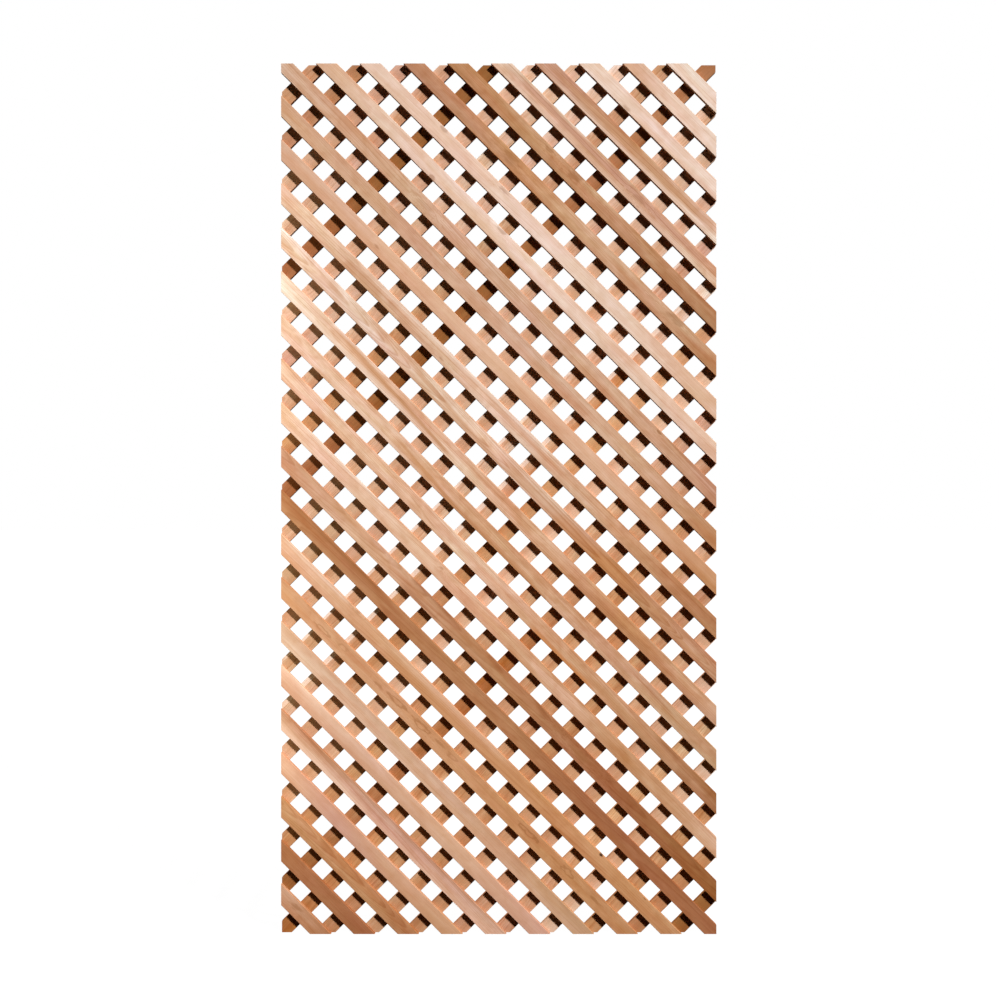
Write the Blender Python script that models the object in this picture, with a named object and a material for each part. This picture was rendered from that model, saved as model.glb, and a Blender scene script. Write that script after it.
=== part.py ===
"""Diagonal lattice panel in western red cedar, 4 ft by 8 ft nominal, built up lath by lath.

The panel is two layers of thin sawn laths, laid across each other at 45 degrees to the edges. The
front laths fall from upper left to lower right and the rear laths rise from lower left to upper
right. Every crossing is stapled from behind, so nothing moves. The mat is sawn to size after it is
fastened, straight through both layers, and that gives each lath its own length and mitred ends.

The panel stands in the XZ plane with its front towards -Y. The origin is the middle of its back.
Each layer hangs on an empty whose X runs along the laths and whose Z steps from lath to lath.
"""

import math

import bmesh
import bpy
from mathutils import Matrix, Vector

# Driving dimensions, in metres
PANEL_WIDTH = 1.2192
PANEL_HEIGHT = 2.4384
LATH_WIDTH = 0.042
LATH_THICKNESS = 0.0095
OPENING_WIDTH = 0.0448
LAYER_GAP = 0.0003
EDGE_EASE = 0.0008
EASE_SEGMENTS = 3
LATH_ANGLE = math.radians(45.0)

# The middle crossing misses the panel's middle a little, because the mat is trimmed after it is made
MIDDLE_CROSSING_X = -0.003
MIDDLE_CROSSING_Z = 0.003

# Worked out from the driving dimensions
LATH_PITCH = LATH_WIDTH + OPENING_WIDTH
BLANK_LENGTH = math.hypot(PANEL_WIDTH, PANEL_HEIGHT) + LATH_WIDTH
CORNER_REACH = (PANEL_WIDTH + PANEL_HEIGHT) / 2.0 * math.sin(LATH_ANGLE)
LATHS_EACH_SIDE = int(CORNER_REACH / LATH_PITCH)
REAR_LAYER_Y = -LATH_THICKNESS / 2.0
FRONT_LAYER_Y = REAR_LAYER_Y - LATH_THICKNESS - LAYER_GAP

# Finish
WOOD_ROUGHNESS = 0.75
SMOOTH_BELOW = math.radians(40.0)
CEDAR = {
    "cream": "EFD7C1",
    "blush": "E5BEA3",
    "peach": "E2B48B",
    "salmon": "D9A683",
    "rose": "CC9778",
    "honey": "CD9961",
    "tan": "BD9064",
    "russet": "AF7049",
    "umber": "9C6138",
}

# The cedar tone of each lath, in the order in which its layer is laid: the front layer from the lower
# left corner to the upper right one, the rear layer from the lower right corner to the upper left one
FRONT_TONES = """
    rose russet tan salmon rose salmon blush honey honey russet rose peach peach peach blush
    blush salmon salmon salmon salmon blush blush tan tan salmon rose cream blush cream
""".split()
REAR_TONES = """
    umber tan honey salmon salmon rose salmon honey honey honey russet salmon blush honey peach
    peach blush blush blush russet rose blush blush blush russet peach peach rose rose
""".split()


def clear_scene() -> None:
    """Remove every object that the file opened with."""
    for obj in list(bpy.data.objects):
        bpy.data.objects.remove(obj)


def linear_rgba(hex_colour: str) -> tuple[float, float, float, float]:
    """Turn an sRGB hex colour into the linear values that a shader takes."""
    channels = []
    for start in (0, 2, 4):
        value = int(hex_colour[start:start + 2], 16) / 255.0
        channels.append(value / 12.92 if value <= 0.04045 else ((value + 0.055) / 1.055) ** 2.4)
    return (*channels, 1.0)


def cedar_material(name: str, tone: str) -> bpy.types.Material:
    """Make the matte, unfinished cedar of one lath in one of the named tones."""
    material = bpy.data.materials.new(name)
    material.use_nodes = True
    shader = material.node_tree.nodes["Principled BSDF"]
    shader.inputs["Base Color"].default_value = linear_rgba(CEDAR[tone])
    shader.inputs["Roughness"].default_value = WOOD_ROUGHNESS
    shader.inputs["Metallic"].default_value = 0.0
    return material


def sawn_blank() -> bmesh.types.BMesh:
    """Make an uncut lath along X, its four long edges eased and its ends still square."""
    blank = bmesh.new()
    size = Matrix.Diagonal((BLANK_LENGTH, LATH_THICKNESS, LATH_WIDTH, 1.0))
    bmesh.ops.create_cube(blank, size=1.0, matrix=size)
    long_edges = [e for e in blank.edges if abs((e.verts[1].co - e.verts[0].co).x) > LATH_WIDTH]
    bmesh.ops.bevel(
        blank, geom=long_edges, offset=EDGE_EASE, offset_type="OFFSET", affect="EDGES",
        segments=EASE_SEGMENTS, profile=0.5, clamp_overlap=True,
    )
    return blank


def panel_edges() -> list[tuple[Vector, Vector]]:
    """List the four saw cuts that trim the mat, each as a point on it and its outward normal."""
    half_width = Vector((PANEL_WIDTH / 2.0, 0.0, 0.0))
    half_height = Vector((0.0, 0.0, PANEL_HEIGHT / 2.0))
    return [
        (side * reach, side * reach.normalized())
        for reach in (half_width, half_height)
        for side in (-1.0, 1.0)
    ]


def trim(blank: bmesh.types.BMesh, placement: Matrix) -> None:
    """Saw a placed blank off along the panel's four edges and close each sawn end."""
    into_blank = placement.inverted()
    for point, normal in panel_edges():
        cut = bmesh.ops.bisect_plane(
            blank, geom=blank.verts[:] + blank.edges[:] + blank.faces[:],
            plane_co=into_blank @ point, plane_no=into_blank.to_3x3() @ normal, clear_outer=True,
        )
        sawn = [item for item in cut["geom_cut"] if isinstance(item, bmesh.types.BMEdge)]
        if sawn:
            bmesh.ops.edgeloop_fill(blank, edges=sawn)
    bmesh.ops.recalc_face_normals(blank, faces=blank.faces[:])


def make_lath(name: str, layer: bpy.types.Object, step: float, tone: str) -> bpy.types.Object:
    """Cut one lath to length at its place in a layer.

    Args:
        name: The lath's node name.
        layer: The empty that carries the layer.
        step: How far the lath lies from the layer's middle one, along the layer's Z.
        tone: The name of its cedar tone.
    """
    blank = sawn_blank()
    trim(blank, layer.matrix_basis @ Matrix.Translation((0.0, 0.0, step)))
    mesh = bpy.data.meshes.new(name)
    blank.to_mesh(mesh)
    blank.free()
    mesh.shade_smooth()
    mesh.set_sharp_from_angle(angle=SMOOTH_BELOW)
    mesh.materials.append(cedar_material(f"cedar_{name}", tone))
    lath = bpy.data.objects.new(name, mesh)
    bpy.context.collection.objects.link(lath)
    lath.parent = layer
    lath.location.z = step
    return lath


def make_layer(name: str, depth: float, angle: float, tones: list[str]) -> None:
    """Lay one layer of parallel laths.

    Args:
        name: The layer's name, which its laths' names start with.
        depth: Where the middle of its laths lies in Y.
        angle: How far its laths are turned about Y from level.
        tones: The tone of each lath, in the order in which they are laid.
    """
    layer = bpy.data.objects.new(f"{name}_layer", None)
    bpy.context.collection.objects.link(layer)
    layer.location = (MIDDLE_CROSSING_X, depth, MIDDLE_CROSSING_Z)
    layer.rotation_euler.y = angle
    for number, tone in enumerate(tones, start=1):
        step = (number - 1 - LATHS_EACH_SIDE) * LATH_PITCH
        make_lath(f"{name}_lath_{number:02d}", layer, step, tone)


def main() -> None:
    """Build the front and rear layers."""
    clear_scene()
    make_layer("front", FRONT_LAYER_Y, LATH_ANGLE, FRONT_TONES)
    make_layer("rear", REAR_LAYER_Y, -LATH_ANGLE, REAR_TONES)


main()
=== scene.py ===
"""Looks of a diagonal lattice panel of western red cedar, dressed lath by lath.

The laths' solids come from the frame and keep their shape. Each lath gets a cedar of its own: the
tones it runs through from end to end, the growth rings of its place in the log, its streaks and its
knots. The staples that fasten the crossings from behind are modelled here.
"""

import logging
import math
import random
from collections.abc import Iterator
from dataclasses import dataclass, field, replace
from enum import Enum

import bpy
from bpy.types import Material, Node, NodeSocket, NodeTree, Object
from mathutils import Matrix, Vector


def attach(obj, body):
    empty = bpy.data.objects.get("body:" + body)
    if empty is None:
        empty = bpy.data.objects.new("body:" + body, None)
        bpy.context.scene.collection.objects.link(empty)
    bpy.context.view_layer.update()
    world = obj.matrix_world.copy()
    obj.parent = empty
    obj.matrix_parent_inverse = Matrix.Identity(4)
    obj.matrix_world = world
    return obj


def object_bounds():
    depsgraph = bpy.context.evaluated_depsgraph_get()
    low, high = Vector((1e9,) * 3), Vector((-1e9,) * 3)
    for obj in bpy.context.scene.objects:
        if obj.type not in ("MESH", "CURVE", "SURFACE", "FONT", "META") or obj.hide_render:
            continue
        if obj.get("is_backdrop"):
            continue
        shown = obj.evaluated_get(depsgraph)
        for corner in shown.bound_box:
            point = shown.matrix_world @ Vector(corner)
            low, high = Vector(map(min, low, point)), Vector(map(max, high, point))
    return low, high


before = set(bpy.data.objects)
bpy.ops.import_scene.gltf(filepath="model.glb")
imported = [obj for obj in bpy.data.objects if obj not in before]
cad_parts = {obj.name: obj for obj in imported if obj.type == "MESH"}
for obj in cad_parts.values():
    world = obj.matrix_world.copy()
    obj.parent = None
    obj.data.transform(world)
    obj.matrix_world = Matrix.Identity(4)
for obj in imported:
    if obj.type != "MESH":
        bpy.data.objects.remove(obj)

LOG = logging.getLogger("lattice_panel")
BODY = "root"
MM = 0.001
WHITE = "FFFFFF"
LATH_ANGLE = math.radians(45.0)
QUARTER_TURN = math.pi / 2.0

# Most of a noise lies between its low and its high, about its middle
NOISE_LOW = 0.3
NOISE_HIGH = 0.7
NOISE_MIDDLE = 0.5

# The most that a share times the rest of it comes to
OUTLINE_PEAK = 0.25

# The photograph's frame and the middle of the panel in it, in its pixels, and the fit to its size
PHOTO_SIDE = 1000.0
PHOTO_MIDDLE = (499.5, 500.0)
PANEL_MIDDLE = (498.75, 498.75)
PIXELS_PER_METRE = 357.06


class Tone(Enum):
    """The tones of the panel's cedar, from pale sapwood to dark heartwood, as sRGB hex."""

    CREAM = "F0D5C1"
    PEARL = "EDCBB4"
    SHELL = "E8C6AE"
    BLUSH = "E4BCA0"
    PEACH = "DFB494"
    WHEAT = "D6B296"
    PINK = "DBAC8B"
    SAND = "D3A88C"
    SALMON = "D2A584"
    APRICOT = "D6A274"
    ROSE = "CC9D7C"
    GINGER = "CD9A73"
    MAUVE = "CB9A82"
    STRAW = "C19772"
    FAWN = "C6946E"
    AMBER = "C4814D"
    CLAY = "BF8B6B"
    HONEY = "C48D60"
    TAN = "BC865B"
    NUTMEG = "B27D55"
    SIENNA = "AE764F"
    CHESTNUT = "A4622F"
    RUSSET = "A16744"
    UMBER = "955F33"
    KNOT = "3A2014"

    def rgba(self) -> tuple[float, float, float, float]:
        """Give the tone as linear values with full alpha."""
        return linear(self.value)


def linear(hex_colour: str) -> tuple[float, float, float, float]:
    """Turn an sRGB hex colour into the linear values that a shader takes.

    Args:
        hex_colour: Six hex digits.

    Returns:
        Linear red, green and blue, and an alpha of one.
    """
    channels = []
    for start in (0, 2, 4):
        value = int(hex_colour[start:start + 2], 16) / 255.0
        channels.append(value / 12.92 if value <= 0.04045 else ((value + 0.055) / 1.055) ** 2.4)
    return (*channels, 1.0)


def plug(node: Node, inputs: dict) -> None:
    """Set or link a node's inputs.

    Args:
        node: The node.
        inputs: What goes into each input, by name or index. It is a value, an output socket, or a node,
            which stands for its first output in use.
    """
    for key, value in inputs.items():
        if isinstance(value, Node):
            value = next(socket for socket in value.outputs if socket.enabled)
        if isinstance(value, NodeSocket):
            node.id_data.links.new(value, node.inputs[key])
        else:
            node.inputs[key].default_value = value


def add(tree: NodeTree, kind: str, inputs: dict | None = None, **settings: object) -> Node:
    """Add a shader node with its settings and links.

    Args:
        tree: The node tree that takes it.
        kind: Its type, without the ShaderNode at the front.
        inputs: What goes into each input, as plug takes it.
        settings: Its properties.

    Returns:
        The new node.
    """
    node = tree.nodes.new(f"ShaderNode{kind}")
    for name, value in settings.items():
        setattr(node, name, value)
    plug(node, inputs or {})
    return node


def new_material(name: str) -> tuple[Material, NodeTree, Node]:
    """Start a material.

    Args:
        name: The material's name.

    Returns:
        The material, its node tree and its Principled BSDF.
    """
    material = bpy.data.materials.new(name)
    material.use_nodes = True
    tree = material.node_tree
    return material, tree, tree.nodes["Principled BSDF"]


@dataclass(frozen=True)
class Knot:
    """The darker wood over a hidden knot, or an open knot, with the grain bent round it.

    Its place and size are in millimetres.

    Attributes:
        along: Where it lies along the layer, from the layer's middle.
        across: Where it lies across the lath, from the lath's middle line.
        length: Its half length along the grain.
        width: Its half width across the grain.
        depth: How far its tone covers the wood's, from 0 to 1.
        hollow: Whether only its outline shows, as of a ring that closes round a hidden knot.
        tone: Its tone.
        fray: How far its outline wanders, as a share of its size.
    """

    along: float
    across: float
    length: float
    width: float
    depth: float = 0.4
    hollow: bool = False
    tone: Tone = Tone.UMBER
    fray: float = 0.3


@dataclass(frozen=True)
class Streak:
    """A strip of another tone along the upper edge of a lath, as where it takes in sapwood.

    Attributes:
        tone: The strip's tone.
        start: Where it starts, from the lath's middle line up towards the edge, in millimetres.
        depth: How far its tone covers the wood's, from 0 to 1.
        span: The shares of the lath's length between which it shows.
    """

    tone: Tone
    start: float
    depth: float
    span: tuple[float, float] = (0.0, 1.0)


@dataclass(frozen=True)
class Band:
    """A soft band of another tone that runs with the grain, as where a flat face cuts into a ring.

    Attributes:
        tone: The band's tone.
        start: Where its middle line starts, along the layer and across the lath, in millimetres.
        end: Where its middle line ends.
        half_width: Half its width, in millimetres.
        depth: How far its tone covers the wood's, from 0 to 1.
    """

    tone: Tone
    start: tuple[float, float]
    end: tuple[float, float]
    half_width: float
    depth: float


@dataclass(frozen=True)
class Sawing:
    """Where in the log a lath was sawn.

    Attributes:
        pith_depth: How far the log's middle lies behind the lath, in metres.
        pith_aside: How far the log's middle lies beside the lath, in metres.
        taper: How fast the rings drift across the lath along its length, in metres a metre.
        ring: The spacing of the growth rings, in metres.
        figure: How strongly the rings and bands show, about 1.
        lean: How much darker the wood gets towards the lath's upper edge, from -1 to 1.
        seed: An offset that gives each lath its own noise.
    """

    pith_depth: float
    pith_aside: float
    taper: float
    ring: float
    figure: float
    lean: float
    seed: tuple[float, float, float]

    @staticmethod
    def of_lath(number: int) -> "Sawing":
        """Choose a lath's place in the log.

        Args:
            number: The lath's number among all the laths.

        Returns:
            The same place each time for the same number.
        """
        draw = random.Random(number)
        return Sawing(
            pith_depth=draw.uniform(30.0, 130.0) * MM,
            pith_aside=draw.uniform(-90.0, 90.0) * MM,
            taper=draw.choice((-1.0, 1.0)) * draw.uniform(4.0, 24.0) * MM,
            ring=draw.uniform(1.0, 2.0) * MM,
            figure=draw.uniform(0.6, 1.1),
            lean=draw.uniform(-1.0, 1.0),
            seed=tuple(draw.uniform(0.0, 50.0) for _ in range(3)),
        )


@dataclass(frozen=True)
class LathPlace:
    """Where a lath lies, read from its solid.

    Attributes:
        angle: How far it is turned about Y from level.
        along: Where it starts and ends along the layer, in metres.
        across: Where its middle line lies across the layer, in metres.
        depth: Where the middle of its thickness lies in Y.
        half_width: Half its width.
    """

    angle: float
    along: tuple[float, float]
    across: float
    depth: float
    half_width: float

    @staticmethod
    def of_node(node: Object, angle: float) -> "LathPlace":
        """Measure a lath's solid.

        Args:
            node: The lath's object.
            angle: How far the lath is turned about Y from level.

        Returns:
            Its place.
        """
        level = Matrix.Rotation(-angle, 3, "Y")
        points = [level @ vertex.co for vertex in node.data.vertices]
        low = [min(point[axis] for point in points) for axis in range(3)]
        high = [max(point[axis] for point in points) for axis in range(3)]
        return LathPlace(
            angle=angle,
            along=(low[0], high[0]),
            across=(low[2] + high[2]) / 2.0,
            depth=(low[1] + high[1]) / 2.0,
            half_width=(high[2] - low[2]) / 2.0,
        )

    def middle_line(self) -> Vector:
        """Give the point of the lath's middle line that is nearest to the panel's middle."""
        return self.turned((0.0, self.depth, self.across))

    def turned(self, way: tuple[float, float, float]) -> Vector:
        """Turn a direction along, through and across the lath into the panel's own directions."""
        return Matrix.Rotation(self.angle, 3, "Y") @ Vector(way)


@dataclass(frozen=True)
class Pattern:
    """Noise that is stretched along the grain.

    Attributes:
        scale: One over its size along the grain, through the lath and across it, a metre.
        detail: How many finer layers it has.
        distortion: How far it is warped, in its own sizes.
        shade: The filter that it lays over the wood, if any, as sRGB hex.
    """

    scale: tuple[float, float, float]
    detail: float
    distortion: float = 0.0
    shade: str = WHITE


@dataclass(frozen=True)
class SawnCedar:
    """Western red cedar, sawn smooth and left bare.

    It gives the eye a matte, dry surface in pinks, honeys and browns that change from lath to lath,
    with long soft bands along the grain, fine lines and low arches where the saw crossed the rings,
    darker ends, and sawn edges darkened partly as duller fuzz and partly as painted shade, which holds
    down the stronger light of the high lamp on them.

    Attributes:
        name: The material's name.
        place: Where the lath lies.
        sawing: Where in the log it was sawn.
        tones: The tones that it runs through, end to end.
        streak: A strip of another tone along its upper edge, or none.
        bands: The soft bands in its face.
        knots: Its knots.
    """

    name: str
    place: LathPlace
    sawing: Sawing
    tones: tuple[Tone, ...]
    streak: Streak | None = None
    bands: tuple[Band, ...] = ()
    knots: tuple[Knot, ...] = ()

    ior: float = 1.5
    specular: float = 0.03
    roughness: tuple[float, float] = (0.7, 0.88)
    # Soft bands, warm patches, pink patches and mottles. They darken as much wood as they lighten, so
    # the lath's tone holds
    figures: tuple[Pattern, ...] = (
        Pattern((5.0, 42.0, 54.0), detail=1.5, distortion=0.5, shade="FBF8F5"),
        Pattern((4.0, 30.0, 36.0), detail=3.0, shade="F9EEE1"),
        Pattern((7.0, 38.0, 32.0), detail=3.0, distortion=0.3, shade="FFF9FD"),
        Pattern((26.0, 46.0, 50.0), detail=1.0, distortion=0.5, shade="F7F2EC"),
    )
    # The real fibres are under 0.1 mm wide. They are drawn 1.2 mm wide, so that they still show
    fibres: Pattern = Pattern((11.0, 800.0, 820.0), detail=2.0, shade="F6F0EA")
    lean_shade: str = "F2ECE6"
    late_wood: str = "E5D3C2"
    end_grain: str = "D0AC8E"
    # The sawn edges' filter: partly duller fuzz, partly painted shade against the high lamp's stronger light
    edge_fuzz_and_painted_shade: str = "CFC1B2"
    # The cosines to the lath's ways at which a face starts to count as an end or an edge, and counts in full
    end_turn: tuple[float, float] = (0.3, 0.6)
    edge_turn: tuple[float, float] = (0.5, 0.9)
    # The height of the fibres, and how high the rings and the saw's marks stand as a share of it
    relief: float = 0.05 * MM
    ring_height: float = 0.6
    saw_mark_height: float = 0.4
    saw_marks: Pattern = Pattern((380.0, 20.0, 24.0), detail=1.0)
    # How far the rings wander, and how their spacing and their strength change
    wander: float = 9.0 * MM
    wander_noise: Pattern = Pattern((1.5, 6.0, 9.0), detail=1.5)
    spacing_scale: float = 0.45
    spacing_detail: float = 1.0
    spacing_change: float = 2.0
    ring_strength: tuple[float, float] = (0.55, 0.85)
    # How dark a ring is at each share of its year, and the darkness that leaves the tone as it is
    year: tuple[tuple[float, float], ...] = ((0.5, 0.12), (0.84, 1.0), (0.92, 1.0))
    plain_year: float = 0.3
    # How far the tones, the streak and the bands stray, and how they end
    tone_noise: Pattern = Pattern((3.5, 22.0, 26.0), detail=2.0)
    tone_stray: float = 0.3
    stray_noise: Pattern = Pattern((3.5, 22.0, 26.0), detail=1.0)
    streak_stray: float = 6.0 * MM
    streak_blur: float = 1.0 * MM
    streak_fade: float = 0.06
    band_stray: float = 5.0 * MM
    band_core: float = 0.2
    band_fade: float = 0.12
    # The share of a knot that is full, how far round it the rings bend, and by how many rings
    knot_core: float = 0.35
    knot_reach: float = 2.5
    knot_bend: float = 2.0
    knot_noise: Pattern = Pattern((45.0, 20.0, 120.0), detail=1.0)

    def material(self) -> Material:
        """Make the cedar of one lath.

        Returns:
            The material.
        """
        material, tree, shader = new_material(self.name)
        painter = CedarPainter(self, tree)
        plug(shader, {
            "Base Color": painter.colour(),
            "Roughness": painter.roughness(),
            "Normal": painter.relief(),
            "IOR": self.ior,
            "Specular IOR Level": self.specular,
        })
        return material


class CedarPainter:
    """Draws the patterns of one lath's cedar with the nodes of its material.

    Attributes:
        cedar: The finish that is drawn.
        tree: The material's node tree.
        normal: The surface's normal.
        grain: Metres along the lath's grain, through the lath and across it.
        along: The first of these alone.
        across: The last of these alone.
        fibres: The noise of the fibres.
        rings: Up to 1 in the late wood of a ring and a little under 0 in its early wood.
    """

    def __init__(self, cedar: SawnCedar, tree: NodeTree) -> None:
        """Turn the panel's coordinates into the lath's own, and draw its fibres and rings.

        Args:
            cedar: The finish.
            tree: The material's node tree.
        """
        panel = add(tree, "TexCoord")
        self.cedar = cedar
        self.tree = tree
        self.normal = panel.outputs["Normal"]
        self.grain = add(tree, "Mapping", {
            "Vector": panel.outputs["Object"],
            "Location": cedar.place.middle_line(),
            "Rotation": (0.0, cedar.place.angle, 0.0),
        }, vector_type="TEXTURE")
        axes = add(tree, "SeparateXYZ", {0: self.grain})
        self.along = axes.outputs["X"]
        self.across = axes.outputs["Z"]
        self.fibres = self.noise(cedar.fibres)
        self.rings = self.cut_rings()

    def colour(self) -> Node:
        """Shade the lath's tones with all its patterns.

        Returns:
            The wood's colour.
        """
        cedar = self.cedar
        figure = cedar.sawing.figure
        colour = self.tone()
        for pattern in cedar.figures:
            colour = self.tint(colour, self.centred(self.noise(pattern), figure), pattern.shade)
        slope = cedar.sawing.lean / cedar.place.half_width
        lean = add(self.tree, "Math", {0: self.across, 1: slope}, operation="MULTIPLY")
        colour = self.tint(colour, lean, cedar.lean_shade)
        if cedar.streak:
            colour = self.cover(colour, self.in_streak(cedar.streak), cedar.streak.tone)
        for band in cedar.bands:
            colour = self.cover(colour, self.in_band(band), band.tone)
        colour = self.tint(colour, self.rings, cedar.late_wood)
        colour = self.tint(colour, self.centred(self.fibres, figure), cedar.fibres.shade)
        for knot in cedar.knots:
            colour = self.cover(colour, self.in_knot(knot), knot.tone)
        # Darken the sawn edges, partly as duller fuzz and partly as painted shade against the high lamp's
        # light
        colour = self.tint(colour, self.facing((0.0, 0.0, 1.0), cedar.edge_turn), cedar.edge_fuzz_and_painted_shade)
        return self.tint(colour, self.facing((1.0, 0.0, 0.0), cedar.end_turn), cedar.end_grain)

    def roughness(self) -> Node:
        """Let the gloss change from fibre to fibre."""
        low, high = self.cedar.roughness
        return add(self.tree, "MapRange", {"Value": self.fibres, "To Min": low, "To Max": high})

    def relief(self) -> Node:
        """Raise the fibres, the late wood and the saw's marks.

        Returns:
            The bumped normal.
        """
        cedar = self.cedar
        marked = self.with_noise(self.fibres, cedar.saw_marks, cedar.saw_mark_height)
        height = add(self.tree, "Math", {
            0: self.rings, 1: cedar.ring_height, 2: marked,
        }, operation="MULTIPLY_ADD")
        return add(self.tree, "Bump", {"Height": height, "Distance": cedar.relief})

    def noise(self, pattern: Pattern) -> Node:
        """Draw a pattern's noise.

        Args:
            pattern: The pattern.

        Returns:
            The noise, mostly from 0.3 to 0.7.
        """
        spread = add(self.tree, "VectorMath", {
            0: self.grain, 1: pattern.scale, 2: self.cedar.sawing.seed,
        }, operation="MULTIPLY_ADD")
        return add(self.tree, "TexNoise", {
            "Vector": spread, "Scale": 1.0, "Detail": pattern.detail, "Distortion": pattern.distortion,
        })

    def with_noise(self, measure: Node | NodeSocket, pattern: Pattern, amount: float) -> Node:
        """Add a pattern's noise to a measure.

        Args:
            measure: The measure.
            pattern: The pattern.
            amount: How much of the noise is added.

        Returns:
            The uneven measure.
        """
        return add(self.tree, "Math", {
            0: self.noise(pattern), 1: amount, 2: measure,
        }, operation="MULTIPLY_ADD")

    def centred(self, noise: Node, reach: float) -> Node:
        """Spread noise evenly about zero.

        Args:
            noise: The noise.
            reach: How far it spreads to each side.

        Returns:
            Values from minus reach to reach.
        """
        return add(self.tree, "MapRange", {
            "Value": noise, "From Min": NOISE_LOW, "From Max": NOISE_HIGH, "To Min": -reach, "To Max": reach,
        })

    def tint(self, colour: Node, amount: Node, shade: str) -> Node:
        """Lay a brown filter over the wood, and lift it off where the amount is below zero.

        Args:
            colour: The wood's colour.
            amount: How much of the filter lies at each place, from -1 to 1.
            shade: The filter, as sRGB hex.

        Returns:
            The filtered colour.
        """
        return add(self.tree, "Mix", {
            "Factor": amount, "A": colour, "B": linear(shade),
        }, data_type="RGBA", blend_type="MULTIPLY", clamp_factor=False)

    def cover(self, colour: Node, amount: Node, tone: Tone) -> Node:
        """Cover the wood with another tone, by an amount from 0 to 1 at each place."""
        return add(self.tree, "Mix", {"Factor": amount, "A": colour, "B": tone.rgba()}, data_type="RGBA")

    def cut_rings(self) -> Node:
        """Cut the log's growth rings where the lath lies in it.

        Returns:
            Up to 1 in the late wood of a ring and a little under 0 in its early wood.
        """
        tree, cedar, sawing = self.tree, self.cedar, self.cedar.sawing
        pith = (0.0, sawing.pith_depth, sawing.pith_aside)
        from_pith = add(tree, "VectorMath", {0: self.grain, 1: pith}, operation="SUBTRACT")
        square = add(tree, "VectorMath", {0: from_pith, 1: (0.0, 1.0, 1.0)}, operation="MULTIPLY")
        radius = add(tree, "VectorMath", {0: square}, operation="LENGTH")
        drift = add(tree, "Math", {0: self.along, 1: sawing.taper}, operation="MULTIPLY")
        bent = self.with_noise(drift, cedar.wander_noise, cedar.wander)
        reach = add(tree, "Math", {0: radius, 1: bent}, operation="ADD")
        for knot in cedar.knots:
            near = self.near_knot(knot, cedar.knot_reach)
            reach = add(tree, "Math", {
                0: near, 1: cedar.knot_bend * sawing.ring, 2: reach,
            }, operation="MULTIPLY_ADD")
        even = add(tree, "Math", {0: reach, 1: sawing.ring}, operation="DIVIDE")
        spacing = add(tree, "TexNoise", {
            "W": even, "Scale": cedar.spacing_scale, "Detail": cedar.spacing_detail,
        }, noise_dimensions="1D")
        count = add(tree, "Math", {
            0: spacing, 1: cedar.spacing_change, 2: even,
        }, operation="MULTIPLY_ADD")
        year = add(tree, "Math", {0: count}, operation="FLOOR")
        weight = add(tree, "TexWhiteNoise", {"W": year}, noise_dimensions="1D")
        strength = add(tree, "MapRange", {
            "Value": weight,
            "To Min": cedar.ring_strength[0] * sawing.figure,
            "To Max": cedar.ring_strength[1] * sawing.figure,
        })
        share = add(tree, "Math", {0: count}, operation="FRACT")
        profile = add(tree, "ValToRGB", {"Fac": share})
        stops = profile.color_ramp.elements
        for stop in stops:
            stop.color = (0.0, 0.0, 0.0, 1.0)
        for position, level in cedar.year:
            stops.new(position).color = (level, level, level, 1.0)
        late = add(tree, "Math", {0: profile, 1: cedar.plain_year}, operation="SUBTRACT")
        return add(tree, "Math", {0: late, 1: strength}, operation="MULTIPLY")

    def tone(self) -> Node:
        """Run through the lath's tones from end to end, with uneven changes between them.

        Returns:
            The wood's tone.
        """
        tones, stray = self.cedar.tones, self.cedar.tone_stray
        uneven = self.with_noise(self.share_of_length(), self.cedar.tone_noise, stray)
        moved = add(self.tree, "Math", {0: uneven, 1: stray * NOISE_MIDDLE}, operation="SUBTRACT")
        ramp = add(self.tree, "ValToRGB", {"Fac": moved})
        stops = ramp.color_ramp.elements
        last = len(tones) - 1
        stops[0].color = tones[0].rgba()
        stops[1].color = tones[last].rgba()
        for index in range(1, last):
            stops.new(index / last).color = tones[index].rgba()
        return ramp

    def share_of_length(self) -> Node:
        """Measure how far along the lath a place is, from 0 at its start to 1 at its end."""
        start, end = self.cedar.place.along
        return add(self.tree, "MapRange", {"Value": self.along, "From Min": start, "From Max": end})

    def in_streak(self, streak: Streak) -> Node:
        """Find the strip of another tone.

        Args:
            streak: The strip.

        Returns:
            How far it covers the wood at each place.
        """
        tree, cedar = self.tree, self.cedar
        wavy = self.with_noise(self.across, cedar.stray_noise, cedar.streak_stray)
        middle = streak.start * MM + cedar.streak_stray * NOISE_MIDDLE
        cover = add(tree, "MapRange", {
            "Value": wavy, "From Min": middle - cedar.streak_blur, "From Max": middle + cedar.streak_blur,
            "To Max": streak.depth,
        }, interpolation_type="SMOOTHSTEP")
        share = self.share_of_length()
        for end, fade in zip(streak.span, (cedar.streak_fade, -cedar.streak_fade)):
            shown = add(tree, "MapRange", {"Value": share, "From Min": end - fade, "From Max": end + fade})
            cover = add(tree, "Math", {0: cover, 1: shown}, operation="MULTIPLY")
        return cover

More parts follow.
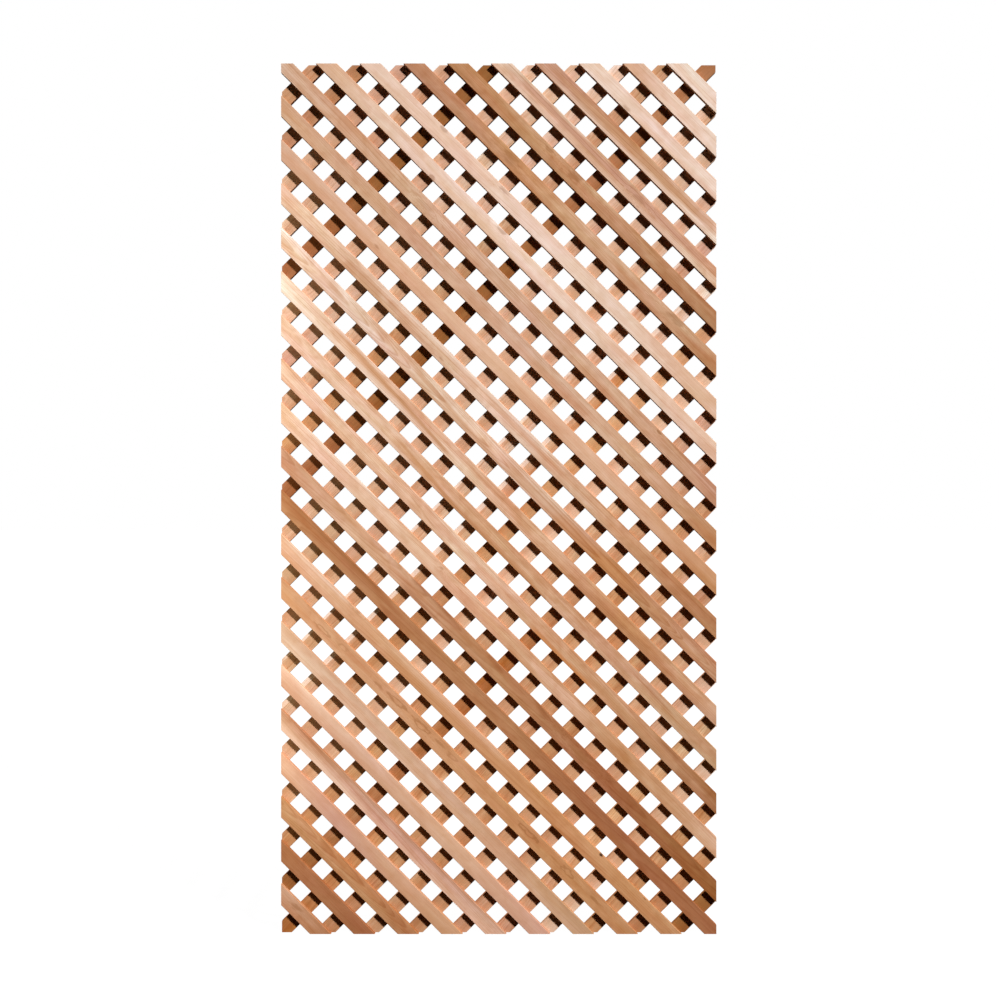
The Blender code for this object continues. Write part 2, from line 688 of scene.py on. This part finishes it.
    def in_band(self, band: Band) -> Node:
        """Find a soft band, which fades out at both ends.

        Args:
            band: The band.

        Returns:
            How far it covers the wood at each place.
        """
        tree, cedar = self.tree, self.cedar
        half_width = band.half_width * MM
        shift = cedar.band_stray * NOISE_MIDDLE
        share = add(tree, "MapRange", {
            "Value": self.along, "From Min": band.start[0] * MM, "From Max": band.end[0] * MM,
        })
        middle = add(tree, "MapRange", {
            "Value": share, "To Min": band.start[1] * MM + shift, "To Max": band.end[1] * MM + shift,
        })
        wavy = self.with_noise(self.across, cedar.stray_noise, cedar.band_stray)
        aside = add(tree, "Math", {0: wavy, 1: middle}, operation="SUBTRACT")
        away = add(tree, "Math", {0: aside}, operation="ABSOLUTE")
        cover = add(tree, "MapRange", {
            "Value": away, "From Min": cedar.band_core * half_width, "From Max": half_width,
            "To Min": band.depth, "To Max": 0.0,
        }, interpolation_type="SMOOTHSTEP")
        left = add(tree, "Math", {0: 1.0, 1: share}, operation="SUBTRACT")
        swell = add(tree, "Math", {0: share, 1: left}, operation="MULTIPLY")
        shown = add(tree, "MapRange", {"Value": swell, "From Max": cedar.band_fade})
        return add(tree, "Math", {0: cover, 1: shown}, operation="MULTIPLY")

    def near_knot(self, knot: Knot, spread: float) -> Node:
        """Measure how near the wood is to a knot.

        Args:
            knot: The knot.
            spread: How many times the knot's size it counts as near.

        Returns:
            1 at the knot's middle, falling to 0 at its edge.
        """
        tree, cedar = self.tree, self.cedar
        middle = (knot.along * MM, 0.0, knot.across * MM)
        size = (1.0 / (knot.length * MM * spread), 0.0, 1.0 / (knot.width * MM * spread))
        aside = add(tree, "VectorMath", {0: self.grain, 1: middle}, operation="SUBTRACT")
        scaled = add(tree, "VectorMath", {0: aside, 1: size}, operation="MULTIPLY")
        reach = add(tree, "VectorMath", {0: scaled}, operation="LENGTH")
        if knot.fray:
            wander = self.centred(self.noise(cedar.knot_noise), knot.fray)
            reach = add(tree, "Math", {0: reach, 1: wander}, operation="ADD")
        return add(tree, "MapRange", {
            "Value": reach, "From Min": cedar.knot_core, "To Min": 1.0, "To Max": 0.0,
        }, interpolation_type="SMOOTHSTEP")

    def in_knot(self, knot: Knot) -> Node:
        """Find a knot, or its outline alone if it is hollow.

        Args:
            knot: The knot.

        Returns:
            How far it covers the wood at each place.
        """
        cover = self.near_knot(knot, spread=1.0)
        depth = knot.depth
        if knot.hollow:
            outside = add(self.tree, "Math", {0: 1.0, 1: cover}, operation="SUBTRACT")
            cover = add(self.tree, "Math", {0: cover, 1: outside}, operation="MULTIPLY")
            depth /= OUTLINE_PEAK
        return add(self.tree, "Math", {0: cover, 1: depth}, operation="MULTIPLY")

    def facing(self, way: tuple[float, float, float], turned: tuple[float, float]) -> Node:
        """Find the faces that look along a direction, forwards or backwards.

        Args:
            way: The direction, along, through and across the lath.
            turned: The cosines to it at which a face starts to count and counts in full.

        Returns:
            1 on the faces that look along it and 0 on the others.
        """
        cosine = add(self.tree, "VectorMath", {
            0: self.normal, 1: self.cedar.place.turned(way),
        }, operation="DOT_PRODUCT")
        either = add(self.tree, "Math", {0: cosine}, operation="ABSOLUTE")
        return add(self.tree, "MapRange", {"Value": either, "From Min": turned[0], "From Max": turned[1]})


@dataclass(frozen=True)
class GalvanisedWire:
    """Galvanised steel wire, drawn and coated with zinc.

    It gives the eye a dull pale grey metal with faint blotches.
    """

    name: str = "galvanised_steel_wire"
    pale: str = "B9BBB9"
    dull: str = "8E908D"
    roughness: tuple[float, float] = (0.32, 0.5)
    # One over the size of a blotch, a metre, and how many finer layers the blotches have
    blotch_scale: float = 900.0
    blotch_detail: float = 2.0

    def material(self) -> Material:
        """Make the zinc-coated steel.

        Returns:
            The material.
        """
        material, tree, shader = new_material(self.name)
        panel = add(tree, "TexCoord")
        blotch = add(tree, "TexNoise", {
            "Vector": panel.outputs["Object"], "Scale": self.blotch_scale, "Detail": self.blotch_detail,
        })
        colour = add(tree, "Mix", {
            "Factor": blotch, "A": linear(self.dull), "B": linear(self.pale),
        }, data_type="RGBA")
        rough = add(tree, "MapRange", {
            "Value": blotch, "To Min": self.roughness[1], "To Max": self.roughness[0],
        })
        plug(shader, {"Base Color": colour, "Roughness": rough, "Metallic": 1.0})
        return material


@dataclass
class LathLayer:
    """One layer of parallel laths.

    Attributes:
        name: The layer's name, which its laths' names start with.
        angle: How far its laths are turned about Y from level.
        first_number: The number of its first lath among all the laths.
        tones: The names of each lath's tones, in the order in which the layer was laid.
        grain: The figure and the lean of the laths that don't take theirs by chance, by number.
        streaks: The laths that have a strip of another tone, by number in the layer.
        bands: The laths that have soft bands, by number in the layer.
        knots: The laths that have knots, by number in the layer.
        places: Where each lath lies.
    """

    name: str
    angle: float
    first_number: int
    tones: list[str]
    grain: dict[int, tuple[float, float]] = field(default_factory=dict)
    streaks: dict[int, Streak] = field(default_factory=dict)
    bands: dict[int, tuple[Band, ...]] = field(default_factory=dict)
    knots: dict[int, tuple[Knot, ...]] = field(default_factory=dict)
    places: list[LathPlace] = field(default_factory=list)

    def dress(self) -> None:
        """Give each lath of the layer its own cedar."""
        for number, words in enumerate(self.tones, start=1):
            name = f"{self.name}_lath_{number:02d}"
            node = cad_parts[name]
            place = LathPlace.of_node(node, self.angle)
            sawing = Sawing.of_lath(self.first_number + number)
            if number in self.grain:
                figure, lean = self.grain[number]
                sawing = replace(sawing, figure=figure, lean=lean)
            cedar = SawnCedar(
                name=f"western_red_cedar_sawn_{name}",
                place=place,
                sawing=sawing,
                tones=tuple(Tone[word.upper()] for word in words.split()),
                streak=self.streaks.get(number),
                bands=self.bands.get(number, ()),
                knots=self.knots.get(number, ()),
            )
            node.data.materials.clear()
            node.data.materials.append(cedar.material())
            self.places.append(place)
            LOG.info("dressed %s in %s", name, words)


@dataclass
class Staples:
    """The wire staples that fasten the crossings from behind, crowns upright.

    Attributes:
        low: The panel's lowest corner.
        high: The panel's highest corner.
        crown: How wide a staple is over its crown, in metres.
        leg: How long its legs are.
        wire: How thick its wire is.
        bend: The radius of its two bends, at the wire's middle.
        proud: How far its crown stands out of the wood.
        clear: How far from the panel's edges a staple keeps.
        stray: How far it strays from the crossing's middle.
        tilt: How far its crown leans from upright, in radians.
        sides: How many sides its wire has.
        bend_steps: How many steps each bend has.
        weld: How near two points are that become one.
        smooth_below: The edges below this angle are smooth, in radians.
    """

    low: Vector
    high: Vector
    crown: float = 11.0 * MM
    leg: float = 15.0 * MM
    wire: float = 1.5 * MM
    bend: float = 1.3 * MM
    proud: float = 0.4 * MM
    clear: float = 12.0 * MM
    stray: float = 1.5 * MM
    tilt: float = math.radians(7.0)
    sides: int = 6
    bend_steps: int = 3
    weld: float = 0.01 * MM
    smooth_below: float = math.radians(65.0)

    def build(self, front: LathLayer, rear: LathLayer) -> Object:
        """Drive a staple into each whole crossing.

        Args:
            front: The front layer, already dressed.
            rear: The rear layer, already dressed.

        Returns:
            All the staples as one piece.
        """
        staple = self.model()
        staple.data.materials.append(GalvanisedWire().material())
        draw = random.Random(len(front.places) + len(rear.places))
        copies = [self.drive(staple, point, draw) for point in self.crossings(front, rear)]
        bpy.data.objects.remove(staple)
        bpy.ops.object.select_all(action="DESELECT")
        for copy in copies:
            copy.select_set(True)
        bpy.context.view_layer.objects.active = copies[0]
        bpy.ops.object.join()
        joined = bpy.context.object
        joined.name = joined.data.name = "staples"
        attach(joined, BODY)
        LOG.info("drove %d staples", len(copies))
        return joined

    def crossings(self, front: LathLayer, rear: LathLayer) -> Iterator[Vector]:
        """Find the middles of the crossings on the panel's back.

        Args:
            front: The front layer.
            rear: The rear layer.

        Yields:
            Each crossing that is far enough from the panel's edges.
        """
        for over in front.places:
            for under in rear.places:
                point = over.middle_line() + under.middle_line()
                point.y = self.high.y
                insets = (min(point[axis] - self.low[axis], self.high[axis] - point[axis]) for axis in (0, 2))
                if min(insets) > self.clear:
                    yield point

    def drive(self, staple: Object, point: Vector, draw: random.Random) -> Object:
        """Drive a copy of the staple, a little astray and aslant.

        Args:
            staple: The staple.
            point: The middle of the crossing.
            draw: What chooses how far astray and aslant it goes.

        Returns:
            The copy.
        """
        astray = [draw.uniform(-self.stray, self.stray) for _ in range(2)]
        lean = Matrix.Rotation(draw.uniform(-self.tilt, self.tilt), 4, "Y")
        copy = bpy.data.objects.new("staple", staple.data.copy())
        copy.data.transform(Matrix.Translation(point + Vector((astray[0], 0.0, astray[1]))) @ lean)
        bpy.context.collection.objects.link(copy)
        return copy

    def model(self) -> Object:
        """Bend one staple from round wire, its crown upright and its legs pointing forward.

        Returns:
            The staple, with the middle of the wood's surface under its crown at the origin.
        """
        half = (self.crown - self.wire) / 2.0
        shoulder = self.proud - self.wire / 2.0 - self.bend
        straight = self.leg - self.wire / 2.0 - self.bend
        bpy.ops.object.select_all(action="DESELECT")
        bpy.ops.mesh.primitive_circle_add(
            vertices=self.sides, radius=self.wire / 2.0, fill_type="NGON",
            location=(0.0, shoulder - straight, -half), rotation=(QUARTER_TURN, 0.0, 0.0),
        )
        staple = bpy.context.object
        bpy.ops.object.transform_apply(location=True, rotation=True, scale=True)
        bpy.ops.object.mode_set(mode="EDIT")
        bpy.ops.mesh.select_all(action="SELECT")
        self.draw_wire((0.0, straight, 0.0))
        self.bend_wire((0.0, shoulder, self.bend - half))
        self.draw_wire((0.0, 0.0, 2.0 * (half - self.bend)))
        self.bend_wire((0.0, shoulder, half - self.bend))
        self.draw_wire((0.0, -straight, 0.0))
        bpy.ops.mesh.select_all(action="SELECT")
        bpy.ops.mesh.remove_doubles(threshold=self.weld)
        bpy.ops.mesh.normals_make_consistent(inside=False)
        bpy.ops.object.mode_set(mode="OBJECT")
        bpy.ops.object.shade_smooth_by_angle(angle=self.smooth_below)
        return staple

    def draw_wire(self, way: tuple[float, float, float]) -> None:
        """Draw the selected end of the wire out straight, by a way in metres."""
        bpy.ops.mesh.extrude_region_move(TRANSFORM_OT_translate={"value": way})

    def bend_wire(self, centre: tuple[float, float, float]) -> None:
        """Bend the selected end of the wire a quarter turn about X, round a centre."""
        bpy.ops.mesh.spin(steps=self.bend_steps, angle=-QUARTER_TURN, center=centre, axis=(1.0, 0.0, 0.0))


@dataclass(frozen=True)
class Lamp:
    """A soft lamp far away, or a warm card that the camera doesn't see beside the panel.

    Attributes:
        name: The lamp's name.
        shines: The direction in which it shines.
        power: Its strength if it is far away, and its power in watts if it is a card.
        colour: Its colour, as sRGB hex.
        size: How wide and how high a card is, in metres.
        place: Where the middle of a card stands, from the middle of the panel's back, in metres.
        softness: How wide a lamp that is far away looks, in radians.
    """

    name: str
    shines: tuple[float, float, float]
    power: float
    colour: str
    size: tuple[float, float] | None = None
    place: tuple[float, float, float] = (0.0, 0.0, 0.0)
    softness: float = math.radians(5.0)

    def hang(self) -> None:
        """Hang the lamp or stand the card."""
        lamp = bpy.data.lights.new(self.name, "AREA" if self.size else "SUN")
        lamp.energy = self.power
        lamp.color = linear(self.colour)[:3]
        holder = bpy.data.objects.new(self.name, lamp)
        holder.location = self.place
        holder.rotation_euler = Vector(self.shines).to_track_quat("-Z", "Y").to_euler()
        if self.size:
            lamp.shape = "RECTANGLE"
            lamp.size, lamp.size_y = self.size
            holder.visible_camera = False
        else:
            lamp.angle = self.softness
        bpy.context.collection.objects.link(holder)


# The key lamp is high on the right. One card is upright by the left edge and one low in front of the
# panel, where the floor would glow, and they throw warm light into the shadows near them
LAMPS = (
    Lamp("key_lamp", (-0.612, 0.445, -0.612), 6.73, "FDFDFF"),
    Lamp("back_lamp", (0.55, -0.62, -0.56), 4.8, WHITE),
    Lamp("left_reflector", (2.0, 1.0, 0.0), 1.05, "FFEEC4", size=(0.08, 1.8), place=(-0.75, -0.14, 0.0)),
    Lamp("low_reflector", (0.0, 0.45, 0.9), 1.25, "FFA850", size=(1.4, 0.3), place=(0.0, -1.1, -1.2)),
)


@dataclass
class Studio:
    """The pale floor, the lamps, the white surroundings and the camera.

    Attributes:
        low: The panel's lowest corner.
        high: The panel's highest corner.
        camera_back: How far the camera stands in front of the panel.
        sensor: How wide its sensor is, in millimetres.
        fill: How much light comes from all round.
        floor_side: The floor's side.
        floor_shadow: How much of the floor's look is its own shaded colour, which holds the shadow.
        floor_bounce: The floor's colour in the light that it throws back at the panel.
    """

    low: Vector
    high: Vector
    camera_back: float = 2.35
    sensor: float = 36.0
    fill: float = 0.001
    floor_side: float = 60.0
    floor_shadow: float = 0.05
    floor_bounce: str = "0C0A08"

    def build(self) -> None:
        """Set up the studio."""
        bpy.context.scene.view_settings.view_transform = "Standard"
        self.lay_floor()
        self.surround()
        for lamp in LAMPS:
            lamp.hang()
        self.place_camera()
        LOG.info("set up the studio")

    def lay_floor(self) -> None:
        """Lay a white floor under the panel that keeps the panel's shadow."""
        bpy.ops.object.select_all(action="DESELECT")
        bpy.ops.mesh.primitive_plane_add(size=self.floor_side, location=(0.0, 0.0, self.low.z))
        floor = bpy.context.object
        floor.name = "floor"
        material, tree, shader = new_material("white_studio_floor")
        plug(shader, {"Base Color": linear(WHITE), "Roughness": 1.0, "Specular IOR Level": 0.0})
        white = add(tree, "Emission", {"Strength": 1.0})
        seen = add(tree, "MixShader", {"Fac": self.floor_shadow, 1: white, 2: shader})
        unseen = add(tree, "BsdfDiffuse", {"Color": linear(self.floor_bounce)})
        path = add(tree, "LightPath")
        both = add(tree, "MixShader", {"Fac": path.outputs["Is Camera Ray"], 1: unseen, 2: seen})
        plug(tree.nodes["Material Output"], {"Surface": both})
        floor.data.materials.append(material)
        floor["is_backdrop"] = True

    def surround(self) -> None:
        """Surround the panel with soft light that the camera and shiny surfaces see as white."""
        world = bpy.data.worlds.new("white_surroundings")
        bpy.context.scene.world = world
        world.use_nodes = True
        tree = world.node_tree
        soft = tree.nodes["Background"]
        plug(soft, {"Color": linear(WHITE), "Strength": self.fill})
        white = add(tree, "Background", {"Color": linear(WHITE), "Strength": 1.0})
        rays = add(tree, "LightPath").outputs
        seen = rays["Is Camera Ray"]
        for ray in ("Is Glossy Ray", "Is Transmission Ray"):
            seen = add(tree, "Math", {0: seen, 1: rays[ray]}, operation="MAXIMUM")
        both = add(tree, "MixShader", {"Fac": seen, 1: soft, 2: white})
        plug(tree.nodes["World Output"], {"Surface": both})

    def place_camera(self) -> None:
        """Place the camera square to the panel and shift its view to the photograph's frame."""
        middle = (self.low + self.high) / 2.0
        data = bpy.data.cameras.new("camera")
        data.sensor_width = self.sensor
        data.lens = PIXELS_PER_METRE * self.camera_back / PHOTO_SIDE * data.sensor_width
        data.shift_x = (PHOTO_MIDDLE[0] - PANEL_MIDDLE[0]) / PHOTO_SIDE
        data.shift_y = (PANEL_MIDDLE[1] - PHOTO_MIDDLE[1]) / PHOTO_SIDE
        camera = bpy.data.objects.new("camera", data)
        camera.location = (middle.x, self.low.y - self.camera_back, middle.z)
        camera.rotation_euler = (QUARTER_TURN, 0.0, 0.0)
        bpy.context.collection.objects.link(camera)
        bpy.context.scene.camera = camera


# The tones of each front lath from its upper left end to its lower right end, in the layer's order
# from the lower left corner of the panel to the upper right one
FRONT_TONES = """\
rose sienna
sienna russet
tan tan nutmeg
pink mauve rose fawn
rose mauve sand
blush sand salmon mauve
wheat wheat rose straw
ginger ginger honey tan
pink ginger ginger honey tan
nutmeg sienna nutmeg russet russet
clay salmon nutmeg russet umber
blush pink pink tan salmon
blush peach pink fawn umber
blush peach ginger rose straw
cream peach pink honey rose
cream salmon pearl tan clay
blush salmon shell ginger nutmeg
sand pink peach pink honey
salmon rose sand salmon tan
sand salmon sand salmon clay
peach shell pearl shell blush
shell pearl shell peach
clay honey salmon tan
tan fawn sienna
blush salmon pink
mauve honey shell
cream pearl pearl
pink pearl cream
cream cream
""".splitlines()

# The tones of each rear lath from its lower left end to its upper right end, in the layer's order
# from the lower right corner of the panel to the upper left one
REAR_TONES = """\
umber umber
sienna honey
tan tan
wheat ginger wheat
clay apricot straw
clay fawn sand
nutmeg fawn ginger rose
straw tan tan clay
sienna tan fawn honey salmon
chestnut honey fawn honey fawn
umber sienna chestnut ginger clay
tan honey fawn ginger mauve
ginger salmon pink peach peach
salmon tan honey apricot ginger
wheat honey salmon amber cream
straw ginger wheat pink mauve
salmon rose rose peach sand
straw rose salmon salmon wheat
salmon salmon salmon sand peach
russet umber umber sienna sienna
honey tan straw rose fawn
rose salmon sand pearl
mauve salmon wheat peach
blush rose blush
russet umber umber
sand rose sand
salmon rose mauve
clay nutmeg
fawn fawn
""".splitlines()

# How strong the figure of each front lath is, and how much darker it gets towards its upper edge
FRONT_GRAIN = {
    1: (0.8, 0.0), 2: (0.8, 0.0), 3: (1.0, -0.6), 4: (0.5, -0.5), 5: (0.85, 1.1), 6: (0.55, -0.6),
    7: (0.6, 0.4), 8: (0.8, 0.1), 9: (0.75, -0.4), 10: (0.7, 0.3), 11: (0.9, 0.2), 12: (0.85, -0.3),
    13: (1.05, -0.2), 14: (1.15, -0.2), 15: (1.05, -0.4), 16: (1.1, -0.4), 17: (1.0, -0.6), 18: (0.5, -0.5),
    19: (0.8, 0.0), 20: (0.9, -0.1), 21: (0.7, -0.5), 22: (0.65, -0.2), 23: (1.05, -0.5), 24: (1.1, -0.7),
    25: (1.4, 0.1), 26: (1.2, 0.1), 27: (0.75, -0.1), 28: (0.7, 0.0), 29: (0.7, 0.0),
}

# Rear laths that take in a strip of sapwood along their upper edge, or a reddish one
REAR_STREAKS = {
    12: Streak(Tone.SIENNA, start=11, depth=0.6, span=(0.0, 0.5)),
    15: Streak(Tone.CREAM, start=8, depth=0.85),
    16: Streak(Tone.CREAM, start=14, depth=0.75),
    17: Streak(Tone.SHELL, start=15, depth=0.6, span=(0.4, 1.0)),
    18: Streak(Tone.SHELL, start=16, depth=0.5, span=(0.55, 1.0)),
}

# Front laths with redder, darker or paler bands
FRONT_BANDS = {
    5: (
        Band(Tone.SIENNA, (20, 21), (850, 21), 13, 0.4),
        Band(Tone.SHELL, (-40, -21), (360, -21), 20, 0.7),
        Band(Tone.BLUSH, (250, -21), (750, -21), 18, 0.4),
    ),
    8: (
        Band(Tone.TAN, (480, 4), (680, 4), 4, 0.6),
        Band(Tone.SIENNA, (670, 9), (770, 7), 4, 0.5),
    ),
    9: (
        Band(Tone.CREAM, (-360, 21), (-80, 21), 16, 0.5),
        Band(Tone.HONEY, (60, -14), (700, -10), 26, 0.8),
        Band(Tone.PEACH, (40, 21), (560, 21), 19, 0.55),
    ),
    10: (
        Band(Tone.UMBER, (-320, 15), (-40, 15), 9, 0.35),
        Band(Tone.TAN, (-60, 21), (240, 21), 9, 0.5),
    ),
    11: (
        Band(Tone.RUSSET, (-20, 21), (150, 21), 11, 0.6),
        Band(Tone.RUSSET, (-30, -14), (130, -14), 8, 0.5),
    ),
    12: (Band(Tone.CREAM, (-560, 21), (-200, 21), 12, 0.8),),
    13: (
        Band(Tone.FAWN, (-190, 7), (-60, -13), 4, 0.5),
        Band(Tone.AMBER, (305, -21), (570, -21), 19, 0.9),
        Band(Tone.TAN, (480, -3), (900, -3), 13, 0.5),
    ),
    14: (
        Band(Tone.SHELL, (-560, -21), (-200, -21), 16, 0.6),
        Band(Tone.HONEY, (-330, 6), (-40, -18), 7, 0.65),
        Band(Tone.TAN, (-160, -21), (300, -21), 15, 0.8),
        Band(Tone.SIENNA, (610, 8), (780, 3), 3.5, 0.6),
        Band(Tone.SIENNA, (665, 0), (810, -3), 3, 0.4),
    ),
    15: (
        Band(Tone.CREAM, (-900, -21), (-300, -21), 20, 0.75),
        Band(Tone.HONEY, (-670, 14), (-150, -14), 9, 0.55),
        Band(Tone.TAN, (-430, 4), (-180, -12), 6, 0.55),
        Band(Tone.FAWN, (-160, 9), (120, 7), 4, 0.5),
        Band(Tone.SIENNA, (250, -21), (900, -21), 28, 0.45),
    ),
    16: (
        Band(Tone.FAWN, (-460, 6), (-40, -17), 9, 0.6),
        Band(Tone.FAWN, (-420, -21), (-20, -21), 14, 0.5),
        Band(Tone.FAWN, (-80, -6), (300, -6), 28, 0.7),
        Band(Tone.AMBER, (130, -4), (460, -4), 30, 0.4),
        Band(Tone.TAN, (370, 15), (740, -15), 8, 0.45),
    ),
    17: (
        Band(Tone.CREAM, (-740, 21), (20, 21), 18, 0.6),
        Band(Tone.FAWN, (-780, -6), (-630, -6), 18, 0.6),
    ),
    25: (
        Band(Tone.MAUVE, (-850, 7), (-20, 7), 14, 0.7),
        Band(Tone.SHELL, (-850, -21), (-20, -21), 20, 0.6),
    ),
    26: (
        Band(Tone.FAWN, (-760, 3), (-100, 3), 13, 0.7),
        Band(Tone.SHELL, (-760, -21), (-100, -21), 17, 0.8),
    ),
}

# The open knot in the ninth lath, the darker wood over hidden ones, and the rings that close round them
FRONT_KNOTS = {
    1: (Knot(410, 4, 26, 9, depth=0.6),),
    8: (
        Knot(-90, -1, 30, 8, hollow=True),
        Knot(-13, 4, 20, 9, depth=0.3, hollow=True),
        Knot(126, 0, 26, 5),
        Knot(200, 4, 46, 8, depth=0.5, hollow=True),
        Knot(298, 4.5, 42, 10, depth=0.5, hollow=True),
        Knot(369, 6, 26, 6),
        Knot(421, 4, 22, 8, depth=0.35, hollow=True),
        Knot(722, 4.5, 42, 8, depth=0.55, hollow=True),
        Knot(820, 4, 14, 4, depth=0.3),
        Knot(873, 5, 28, 10, depth=0.5, hollow=True),
        Knot(988, 3, 34, 6, depth=0.5),
    ),
    9: (
        Knot(908, 18, 8, 5.5, depth=0.95, tone=Tone.KNOT, fray=0.0),
        Knot(-55, 17, 14, 5, depth=0.35),
        Knot(1082, 18, 8, 3, depth=0.7),
    ),
    11: (Knot(672, 1, 50, 17),),
    12: (Knot(24, 10, 14, 5),),
    17: (Knot(-392, -11, 16, 5),),
    18: (Knot(-742, -3, 16, 5),),
    20: (Knot(-729, 2, 30, 10, depth=0.2), Knot(186, 15, 10, 4, depth=0.6)),
    21: (Knot(-768, -16, 18, 7, depth=0.5), Knot(-521, 16, 22, 8)),
    22: (Knot(-840, 16, 20, 7), Knot(-601, 14, 26, 9)),
    23: (Knot(-652, 4, 40, 22, depth=0.45), Knot(-1, 12, 44, 14, depth=0.45)),
    24: (Knot(-590, 12, 20, 9), Knot(-488, 8, 34, 18, depth=0.55)),
    25: (Knot(-313, 2, 28, 10, depth=0.3),),
    27: (Knot(-521, -16, 22, 8),),
}


def main() -> None:
    """Dress the laths, drive the staples and set up the studio."""
    logging.basicConfig(level=logging.INFO, format="%(name)s: %(message)s")
    low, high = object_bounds()
    front = LathLayer(
        name="front", angle=LATH_ANGLE, first_number=0, tones=FRONT_TONES, grain=FRONT_GRAIN,
        bands=FRONT_BANDS, knots=FRONT_KNOTS,
    )
    rear = LathLayer(name="rear", angle=-LATH_ANGLE, first_number=100, tones=REAR_TONES, streaks=REAR_STREAKS)
    front.dress()
    rear.dress()
    Staples(low, high).build(front, rear)
    Studio(low, high).build()
    bpy.context.view_layer.update()


if __name__ == "__main__":
    main()
